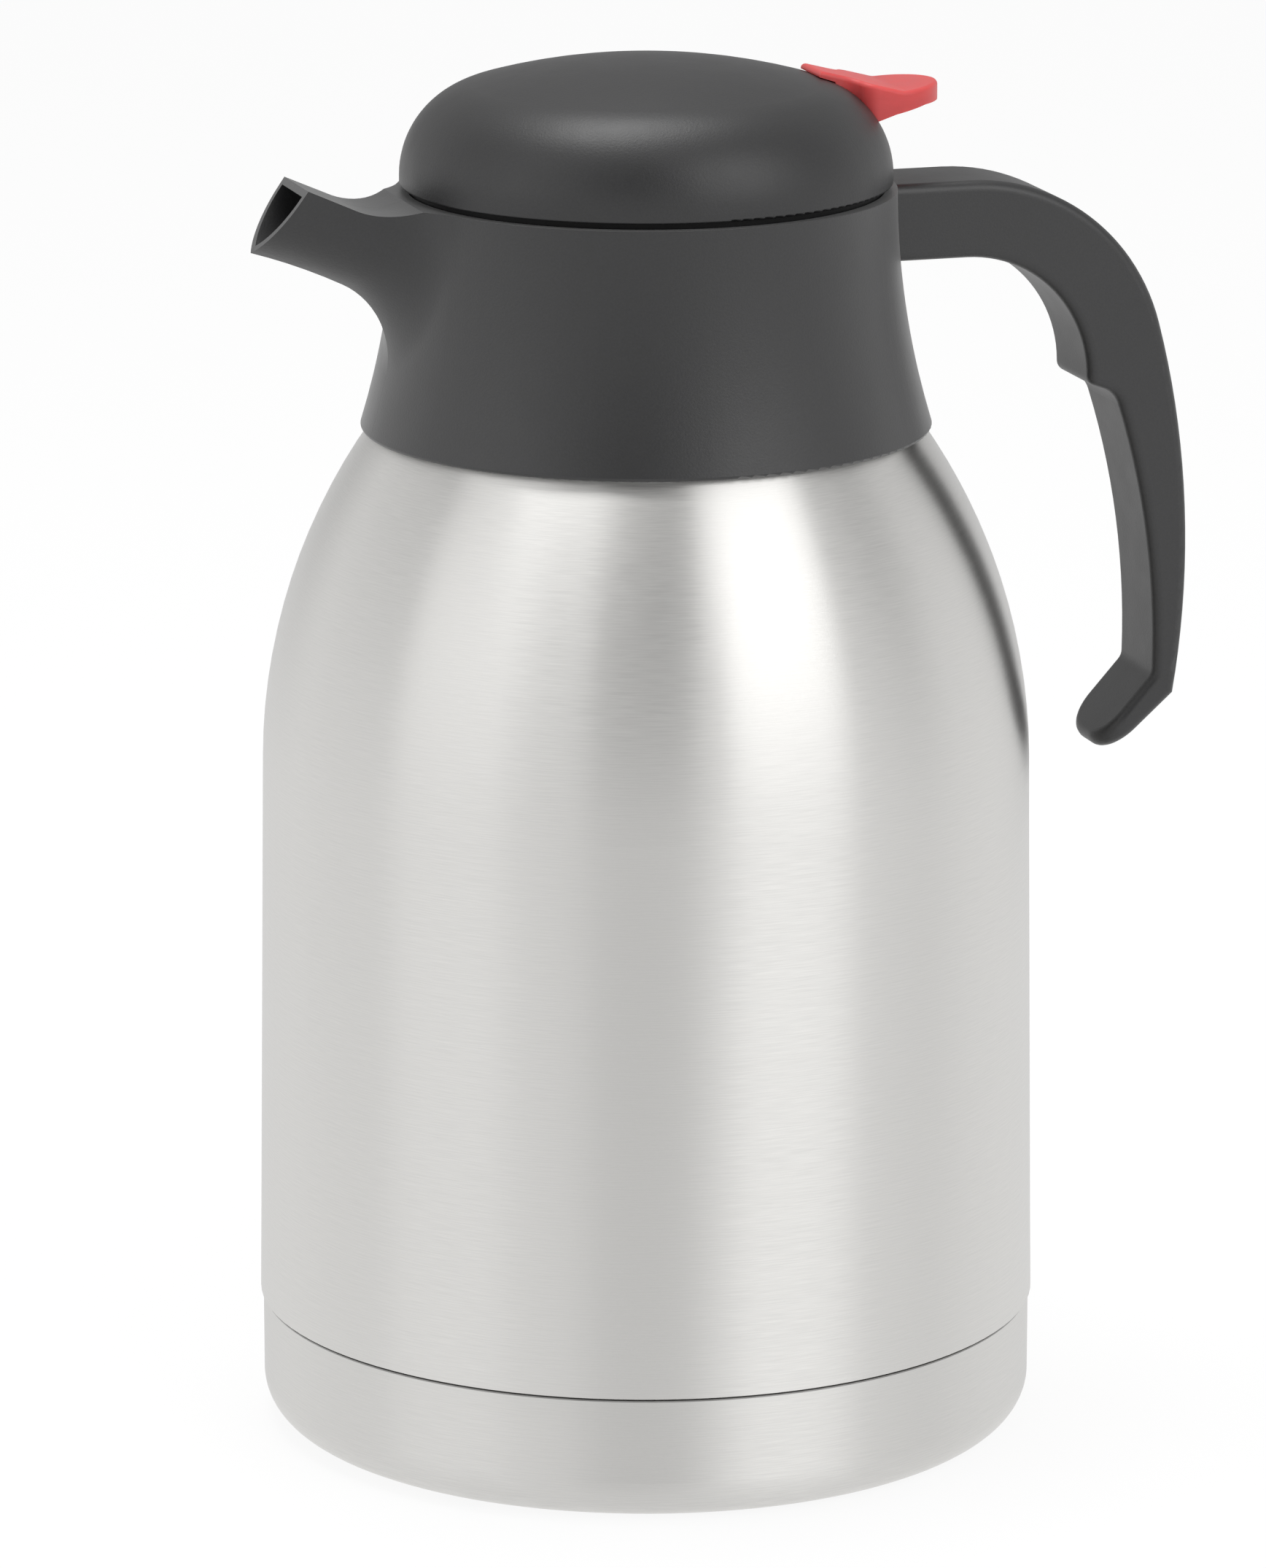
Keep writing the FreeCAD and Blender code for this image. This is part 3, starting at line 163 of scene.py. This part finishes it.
class JugStage(bpy.types.PropertyGroup):
    """Camera, floor, and the light and dark of the studio."""
    lens: FloatProperty(name="Lens", description="Focal length of the camera in millimetres", default=184.5)
    camera_place: FloatVectorProperty(
        name="Camera", description="Where the camera stands", default=(-0.4293, -1.3703, 0.4791),
        size=3, subtype="TRANSLATION", unit="LENGTH")
    camera_pitch: angle_property("Pitch", "How far the camera looks down", 14.07)
    camera_turn: angle_property("Turn", "How far the camera is turned about the upright", -17.3)
    floor_size: length_property("Floor", "Width of the floor", 60.0)
    floor_white: share_property("Floor white", "Share of the floor that is plain white", 0.87)
    fill: FloatProperty(name="Fill", description="Strength of the light from all round", default=0.72)
    dark_side: share_property("Dark side", "How dark the studio is behind the camera", 1.0)
    dark_ceiling: share_property("Dark ceiling", "How dark the studio is overhead", 0.35)
    dark_back: share_property("Dark back", "How dark the studio is beyond the jug", 0.5)


def new_material(name):
    """A node material with one principled shader; gives the material, its tree and the shader."""
    material = bpy.data.materials.new(name)
    material.use_nodes = True
    tree = material.node_tree
    return material, tree, tree.nodes["Principled BSDF"]


def node(tree, kind, **settings):
    made = tree.nodes.new(kind)
    for name, value in settings.items():
        setattr(made, name, value)
    return made


def maths(tree, operation, first, second=None):
    """One step of arithmetic on values that are each a number or another node's output."""
    made = node(tree, "ShaderNodeMath", operation=operation)
    for socket, value in zip(made.inputs, (first, second)):
        if value is None:
            continue
        if isinstance(value, (int, float)):
            socket.default_value = value
        else:
            tree.links.new(value, socket)
    return made.outputs[0]


def object_place(tree):
    return node(tree, "ShaderNodeTexCoord").outputs["Object"]


def coordinates(tree, place):
    """The three coordinates of a place, one by one."""
    split = node(tree, "ShaderNodeSeparateXYZ")
    tree.links.new(place, split.inputs[0])
    return split.outputs


def noise(tree, place, size, detail, stretch=(1.0, 1.0, 1.0)):
    """Noise with specks of this size in metres, stretched along the axes."""
    mapping = node(tree, "ShaderNodeMapping")
    mapping.inputs["Scale"].default_value = [1.0 / (size * part) for part in stretch]
    texture = node(tree, "ShaderNodeTexNoise")
    texture.inputs["Scale"].default_value = 1.0
    texture.inputs["Detail"].default_value = detail
    tree.links.new(place, mapping.inputs["Vector"])
    tree.links.new(mapping.outputs[0], texture.inputs["Vector"])
    return texture.outputs["Fac"]


def mixed(tree, first, first_share, second, second_share):
    """The sum of two patterns, each times its share."""
    first_part = maths(tree, "MULTIPLY", first, first_share)
    second_part = maths(tree, "MULTIPLY", second, second_share)
    return maths(tree, "ADD", first_part, second_part)


def spread(tree, pattern, low, high):
    """A noise pattern made into values from low to high."""
    made = node(tree, "ShaderNodeMapRange")
    limits = (("From Min", NOISE_LOW), ("From Max", NOISE_HIGH), ("To Min", low), ("To Max", high))
    for name, number in limits:
        made.inputs[name].default_value = number
    tree.links.new(pattern, made.inputs["Value"])
    return made.outputs[0]


def shade(colour, factor):
    return tuple(min(1.0, part * factor) for part in colour)


def tinted(tree, pattern, colour, tones):
    """The colour, varied by a noise pattern between two factors."""
    dark, light = tones
    made = node(tree, "ShaderNodeMix", data_type="RGBA")
    made.inputs["A"].default_value = (*shade(colour, dark), 1.0)
    made.inputs["B"].default_value = (*shade(colour, light), 1.0)
    tree.links.new(spread(tree, pattern, 0.0, 1.0), made.inputs["Factor"])
    return made.outputs["Result"]


def with_painted_shade(tree, value, colour, dark):
    """The colour where the value is 1, and a painted shade where it is 0."""
    made = node(tree, "ShaderNodeMix", data_type="RGBA")
    made.inputs["A"].default_value = (*dark, 1.0)
    tree.links.new(colour, made.inputs["B"])
    tree.links.new(value, made.inputs["Factor"])
    return made.outputs["Result"]


def roughen(tree, shader, pattern, middle, swing):
    """Vary the roughness by a noise pattern, as far as swing to each side of the middle."""
    tree.links.new(spread(tree, pattern, middle - swing, middle + swing), shader.inputs["Roughness"])


def bump(tree, shader, height, strength, depth):
    made = node(tree, "ShaderNodeBump")
    made.inputs["Strength"].default_value = strength
    made.inputs["Distance"].default_value = depth
    tree.links.new(height, made.inputs["Height"])
    tree.links.new(made.outputs[0], shader.inputs["Normal"])


def set_shader(shader, settings):
    for name, value in settings.items():
        shader.inputs[name].default_value = value


def brushed_steel(name, looks, roughness, grain_depth, seam=None):
    """Steel brushed round the jug in short thin marks, with a line of painted shade where a seam is at this
    height.
    """
    material, tree, shader = new_material(name)
    x, y, z = coordinates(tree, object_place(tree))
    angle = maths(tree, "ARCTAN2", y, x)
    unrolled = node(tree, "ShaderNodeCombineXYZ")
    tree.links.new(maths(tree, "MULTIPLY", angle, BRUSH_RADIUS), unrolled.inputs["X"])
    tree.links.new(z, unrolled.inputs["Z"])
    place = unrolled.outputs[0]
    fine = noise(tree, place, looks.grain, detail=3.0, stretch=(30.0, 1.0, 1.0))
    coarse = noise(tree, place, looks.grain * COARSE_GRAIN, detail=2.0, stretch=(40.0, 1.0, 1.0))
    marks = mixed(tree, fine, FINE_MARKS, coarse, COARSE_MARKS)
    colour = tinted(tree, marks, looks.steel, tones=(0.93, 1.07))
    # Painted shade: a dark line all round, where the gap between base and shell lies in shadow
    if seam is not None:
        away = maths(tree, "ABSOLUTE", maths(tree, "SUBTRACT", z, seam))
        unshaded = maths(tree, "GREATER_THAN", away, looks.painted_seam_shade / 2)
        colour = with_painted_shade(tree, unshaded, colour, shade(looks.steel, SEAM_PAINTED_SHADE))
    tree.links.new(colour, shader.inputs["Base Color"])
    roughen(tree, shader, marks, roughness, swing=0.04)
    bump(tree, shader, marks, strength=0.4, depth=grain_depth)
    set_shader(shader, {"Metallic": 1.0, "Anisotropic": 0.95, "Anisotropic Rotation": 0.25})
    tangent = node(tree, "ShaderNodeTangent", direction_type="RADIAL", axis="Z")
    tree.links.new(tangent.outputs[0], shader.inputs["Tangent"])
    return material


def moulded_plastic(name, colour, texture_size, roughness, depth, gloss, sheen=0.0, line_width=0.0):
    """Moulded plastic with a fine spark-eroded texture, faint clouding and, if wanted, a parting line: a
    groove in the bump, darkened with painted shade.
    """
    material, tree, shader = new_material(name)
    place = object_place(tree)
    specks = noise(tree, place, texture_size, detail=2.0)
    clouds = noise(tree, place, CLOUD_SIZE, detail=3.0)
    rub = noise(tree, place, RUB_SIZE, detail=4.0)
    tone = mixed(tree, specks, SPECKS, clouds, CLOUDS)
    mottled = tinted(tree, tone, colour, tones=(0.8, 1.22))
    height = specks
    # Parting line: a groove in the bump, and painted shade in its colour
    if line_width:
        parts = coordinates(tree, place)
        ahead = maths(tree, "LESS_THAN", parts["X"], PARTING_START)
        near = maths(tree, "LESS_THAN", maths(tree, "ABSOLUTE", parts["Y"]), line_width / 2)
        line = maths(tree, "MULTIPLY", ahead, near)
        height = maths(tree, "SUBTRACT", specks, line)
        unshaded = maths(tree, "SUBTRACT", 1.0, line)
        mottled = with_painted_shade(tree, unshaded, mottled, shade(colour, PARTING_PAINTED_SHADE))
    tree.links.new(mottled, shader.inputs["Base Color"])
    roughen(tree, shader, rub, roughness, swing=0.015)
    bump(tree, shader, height, strength=0.6, depth=depth)
    set_shader(shader, {"Specular IOR Level": gloss, "Sheen Weight": sheen, "Sheen Roughness": 0.5})
    return material


def glossy_plastic(name, colour):
    """Smooth moulded plastic with slight flow marks and handling wear."""
    material, tree, shader = new_material(name)
    place = object_place(tree)
    flow = noise(tree, place, size=0.008, detail=3.0, stretch=(1.0, 1.0, 0.4))
    wear = noise(tree, place, size=0.0004, detail=2.0)
    tree.links.new(tinted(tree, flow, colour, tones=(0.92, 1.08)), shader.inputs["Base Color"])
    roughen(tree, shader, flow, middle=0.44, swing=0.04)
    bump(tree, shader, wear, strength=0.12, depth=0.00005)
    set_shader(shader, {"Specular IOR Level": 0.35, "Subsurface Weight": 0.35, "Subsurface Scale": 0.004})
    return material


def soft_seal(name, colour):
    """Satin silicone with a little dust."""
    material, tree, shader = new_material(name)
    dust = noise(tree, object_place(tree), size=0.001, detail=3.0)
    tree.links.new(tinted(tree, dust, colour, tones=(0.92, 1.05)), shader.inputs["Base Color"])
    roughen(tree, shader, dust, middle=0.54, swing=0.06)
    bump(tree, shader, dust, strength=0.1, depth=0.0001)
    set_shader(shader, {"Subsurface Weight": 0.1})
    return material


def plain_metal(name, colour, roughness):
    """Small turned or cast metal pieces with fine tool marks."""
    material, tree, shader = new_material(name)
    marks = noise(tree, object_place(tree), size=0.0004, detail=3.0)
    tree.links.new(tinted(tree, marks, colour, tones=(0.85, 1.1)), shader.inputs["Base Color"])
    roughen(tree, shader, marks, roughness, swing=0.06)
    bump(tree, shader, marks, strength=0.15, depth=0.00005)
    set_shader(shader, {"Metallic": 1.0})
    return material


def dress(names, material):
    for name in names:
        slots = nodes[name].data.materials
        slots.clear()
        slots.append(material)


class JUG_OT_steel(bpy.types.Operator):
    """Brush the outer shell, the base and the flask's hidden steel"""
    bl_idname = "jug.steel"
    bl_label = "Steel flask"

    def execute(self, context):
        looks = context.scene.jug_looks
        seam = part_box("base_cup")[1][2]
        shell = brushed_steel("brushed_shell", looks, roughness=0.39, grain_depth=GRAIN_DEPTH, seam=seam)
        base = brushed_steel("brushed_base", looks, roughness=0.41, grain_depth=GRAIN_DEPTH, seam=seam)
        flask = brushed_steel("drawn_flask", looks, roughness=0.36, grain_depth=FLASK_GRAIN_DEPTH)
        dress(["outer_shell"], shell)
        dress(["base_cup"], base)
        dress(["inner_flask", "jacket_plate"], flask)
        return {"FINISHED"}


class JUG_OT_mouldings(bpy.types.Operator):
    """Texture the collar, the handle, the lid and the hidden mouldings"""
    bl_idname = "jug.mouldings"
    bl_label = "Collar, handle and lid"

    def execute(self, context):
        looks = context.scene.jug_looks
        colour = looks.plastic
        size = looks.mould_texture
        collar = moulded_plastic(
            "moulded_collar", colour, size, roughness=0.43, depth=MOULD_DEPTH, gloss=0.6, sheen=0.2,
            line_width=looks.parting_line)
        handle = moulded_plastic(
            "moulded_handle", colour, size, roughness=0.43, depth=MOULD_DEPTH, gloss=0.7)
        lid = moulded_plastic(
            "moulded_lid", colour, size, roughness=0.46, depth=MOULD_DEPTH, gloss=0.62)
        inner = moulded_plastic(
            "inner_moulding", looks.inner, size * INNER_TEXTURE, roughness=0.5,
            depth=INNER_MOULD_DEPTH, gloss=0.2)
        dress(["collar"], collar)
        dress(["handle"], handle)
        dress(["lid_dome"], lid)
        dress(["stopper_body", "seat_plate", "neck_ring", "valve_stem", "lift_cap"], inner)
        return {"FINISHED"}


class JUG_OT_lever(bpy.types.Operator):
    """Colour the thumb lever"""
    bl_idname = "jug.lever"
    bl_label = "Thumb lever"

    def execute(self, context):
        dress(["lever"], glossy_plastic("lever_gloss", context.scene.jug_looks.lever))
        return {"FINISHED"}


class JUG_OT_small_pieces(bpy.types.Operator):
    """Finish the seals, the pin, the screw and what closes the vacuum"""
    bl_idname = "jug.small_pieces"
    bl_label = "Seals and small metal"

    def execute(self, context):
        looks = context.scene.jug_looks
        dress(["neck_gasket", "face_seal", "side_seal", "valve_disc"], soft_seal("silicone", looks.seal))
        dress(["lever_pin", "handle_screw"], plain_metal("turned_steel", TURNED_STEEL, roughness=0.3))
        dress(["vent_bead"], plain_metal("solder", SOLDER, roughness=0.4))
        dress(["getter_tablet"], plain_metal("getter", GETTER, roughness=0.6))
        return {"FINISHED"}


def wind_spring(low, high, sizes):
    """A coil of round wire that fills the box from low to high, wound upwards from its +X side."""
    centre = (0.0, 0.0, 0.0)
    radius = sizes.wire / 2
    steps = round(sizes.turns * sizes.steps)
    rise = high[2] - low[2] - sizes.wire
    shape = bmesh.new()
    ring = bmesh.ops.create_circle(shape, cap_ends=False, segments=WIRE_SIDES, radius=radius)["verts"]
    bmesh.ops.rotate(shape, verts=ring, cent=centre, matrix=Matrix.Rotation(math.pi / 2, 3, "X"))
    bmesh.ops.translate(shape, verts=ring, vec=(high[0] - radius, 0.0, low[2] + radius))
    bmesh.ops.spin(
        shape, geom=shape.verts[:] + shape.edges[:], cent=centre, axis=(0.0, 0.0, 1.0),
        dvec=(0.0, 0.0, rise / steps), angle=2.0 * math.pi * sizes.turns, steps=steps)
    bmesh.ops.holes_fill(shape, edges=[edge for edge in shape.edges if edge.is_boundary], sides=0)
    bmesh.ops.recalc_face_normals(shape, faces=shape.faces[:])
    for face in shape.faces:
        face.smooth = len(face.verts) == 4
    mesh = bpy.data.meshes.new("valve_spring_coil")
    shape.to_mesh(mesh)
    shape.free()
    return mesh


class JUG_OT_spring(bpy.types.Operator):
    """Wind the valve spring in place of the part's spring and hang it on the lid; it does not shorten as
    the valve lifts
    """
    bl_idname = "jug.spring"
    bl_label = "Valve spring"

    def execute(self, context):
        low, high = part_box("valve_spring")
        mesh = wind_spring(low, high, context.scene.jug_spring)
        mesh.materials.append(plain_metal("spring_steel", TURNED_STEEL, roughness=0.3))
        coil = bpy.data.objects.new("valve_spring_coil", mesh)
        context.scene.collection.objects.link(coil)
        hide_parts("valve_spring")
        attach(coil, "lid")
        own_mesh(coil)
        return {"FINISHED"}


def make_lamp(name, place, width, height, power):
    """A rectangular lamp that faces the jug."""
    lamp = bpy.data.lights.new(name, "AREA")
    lamp.shape = "RECTANGLE"
    lamp.size = width
    lamp.size_y = height
    lamp.energy = power
    holder = bpy.data.objects.new(name, lamp)
    holder.location = place
    holder.rotation_euler = (Vector(LAMP_AIM) - Vector(place)).to_track_quat("-Z", "Y").to_euler()
    bpy.context.scene.collection.objects.link(holder)


def make_camera(stage):
    data = bpy.data.cameras.new("camera")
    data.lens = stage.lens
    data.sensor_width = SENSOR_WIDTH
    data.clip_end = SIGHT_END
    camera = bpy.data.objects.new("camera", data)
    camera.location = stage.camera_place
    camera.rotation_euler = (math.pi / 2 - stage.camera_pitch, 0.0, stage.camera_turn)
    bpy.context.scene.collection.objects.link(camera)
    bpy.context.scene.camera = camera


def between(tree, value, low, high, soft):
    """1 where the value lies between low and high, fading to 0 over soft each side."""
    rise = node(tree, "ShaderNodeMapRange", interpolation_type="SMOOTHSTEP")
    fall = node(tree, "ShaderNodeMapRange", interpolation_type="SMOOTHSTEP")
    for made, edge in ((rise, low), (fall, high)):
        made.inputs["From Min"].default_value = edge - soft
        made.inputs["From Max"].default_value = edge + soft
        tree.links.new(value, made.inputs["Value"])
    return maths(tree, "SUBTRACT", rise.outputs[0], fall.outputs[0])


def between_angles(tree, value, limits):
    """As between, with the three limits in degrees."""
    low, high, soft = [math.radians(limit) for limit in limits]
    return between(tree, value, low, high, soft)


def looked_at(tree, path):
    """1 on a ray from the camera, also through a clear piece."""
    return maths(tree, "MAXIMUM", path.outputs["Is Camera Ray"], path.outputs["Is Transmission Ray"])


def make_world(stage):
    """White to look at. In reflections it is dark behind the camera, at the right, overhead and far off."""
    world = bpy.data.worlds.new("studio")
    bpy.context.scene.world = world
    world.use_nodes = True
    tree = world.node_tree
    background = tree.nodes["Background"]
    background.inputs["Color"].default_value = (1.0, 1.0, 1.0, 1.0)
    x, y, z = coordinates(tree, node(tree, "ShaderNodeTexCoord").outputs["Generated"])
    heading = maths(tree, "ARCTAN2", x, maths(tree, "MULTIPLY", y, -1.0))
    beside = maths(tree, "SUBTRACT", heading, stage.camera_turn)
    behind = between_angles(tree, beside, BEHIND_CAMERA)
    right = between_angles(tree, beside, RIGHT_SIDE)
    far = between_angles(tree, maths(tree, "ABSOLUTE", beside), FAR_SIDE)
    above = between(tree, z, *DARK_HEIGHT)
    ceiling = between(tree, z, *CEILING_HEIGHT)
    sides = maths(tree, "ADD", behind, maths(tree, "MULTIPLY", right, RIGHT_SHARE))
    dark = maths(tree, "MULTIPLY", maths(tree, "MULTIPLY", sides, above), stage.dark_side)
    dark = maths(tree, "MAXIMUM", dark, maths(tree, "MULTIPLY", ceiling, stage.dark_ceiling))
    dark = maths(tree, "MAXIMUM", dark, maths(tree, "MULTIPLY", far, stage.dark_back))
    mirrored = maths(tree, "SUBTRACT", 1.0, dark)
    path = node(tree, "ShaderNodeLightPath")
    glossy = maths(tree, "MULTIPLY", path.outputs["Is Glossy Ray"], mirrored)
    seen = maths(tree, "MAXIMUM", looked_at(tree, path), glossy)
    lit = maths(tree, "MULTIPLY", path.outputs["Is Diffuse Ray"], stage.fill)
    tree.links.new(maths(tree, "MAXIMUM", seen, lit), background.inputs["Strength"])


def make_floor(stage):
    """A pale floor that is white to look at, with part of its shading left so that it keeps the shadow."""
    mesh = bpy.data.meshes.new("floor")
    shape = bmesh.new()
    bmesh.ops.create_grid(shape, x_segments=1, y_segments=1, size=stage.floor_size / 2)
    shape.to_mesh(mesh)
    shape.free()
    floor = bpy.data.objects.new("floor", mesh)
    bpy.context.scene.collection.objects.link(floor)
    material, tree, shader = new_material("pale_floor")
    set_shader(shader, {"Base Color": (0.95, 0.95, 0.95, 1.0), "Roughness": 0.7, "Specular IOR Level": 0.1})
    white = node(tree, "ShaderNodeEmission")
    mix = node(tree, "ShaderNodeMixShader")
    path = node(tree, "ShaderNodeLightPath")
    seen = maths(tree, "MAXIMUM", looked_at(tree, path), path.outputs["Is Glossy Ray"])
    tree.links.new(maths(tree, "MULTIPLY", seen, stage.floor_white), mix.inputs["Fac"])
    tree.links.new(shader.outputs[0], mix.inputs[1])
    tree.links.new(white.outputs[0], mix.inputs[2])
    tree.links.new(mix.outputs[0], tree.nodes["Material Output"].inputs["Surface"])
    mesh.materials.append(material)


class JUG_OT_stage(bpy.types.Operator):
    """Set up the camera, the floor, the studio light and the lamps"""
    bl_idname = "jug.stage"
    bl_label = "Stage"

    def execute(self, context):
        stage = context.scene.jug_stage
        context.scene.view_settings.view_transform = "Standard"
        make_camera(stage)
        make_world(stage)
        make_floor(stage)
        for lamp in LAMPS:
            make_lamp(*lamp)
        return {"FINISHED"}


class JUG_PT_looks(bpy.types.Panel):
    """The jug's finishes and stage, and the buttons that make them"""
    bl_label = "Vacuum jug"
    bl_idname = "JUG_PT_looks"
    bl_space_type = "VIEW_3D"
    bl_region_type = "UI"
    bl_category = "Jug"

    def draw(self, context):
        for group in (context.scene.jug_looks, context.scene.jug_spring, context.scene.jug_stage):
            for name in group.__annotations__:
                self.layout.prop(group, name)
        for operator in OPERATORS:
            self.layout.operator(operator.bl_idname)


OPERATORS = (
    JUG_OT_steel, JUG_OT_mouldings, JUG_OT_lever, JUG_OT_small_pieces, JUG_OT_spring, JUG_OT_stage)
CLASSES = (JugLooks, JugSpring, JugStage, *OPERATORS, JUG_PT_looks)


def register():
    for item in CLASSES:
        bpy.utils.register_class(item)
    bpy.types.Scene.jug_looks = PointerProperty(type=JugLooks)
    bpy.types.Scene.jug_spring = PointerProperty(type=JugSpring)
    bpy.types.Scene.jug_stage = PointerProperty(type=JugStage)


def unregister():
    del bpy.types.Scene.jug_stage
    del bpy.types.Scene.jug_spring
    del bpy.types.Scene.jug_looks
    for item in reversed(CLASSES):
        bpy.utils.unregister_class(item)


def main():
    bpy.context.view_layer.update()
    register()
    bpy.ops.jug.steel()
    bpy.ops.jug.mouldings()
    bpy.ops.jug.lever()
    bpy.ops.jug.small_pieces()
    bpy.ops.jug.spring()
    bpy.ops.jug.stage()


if __name__ == "__main__":
    main()
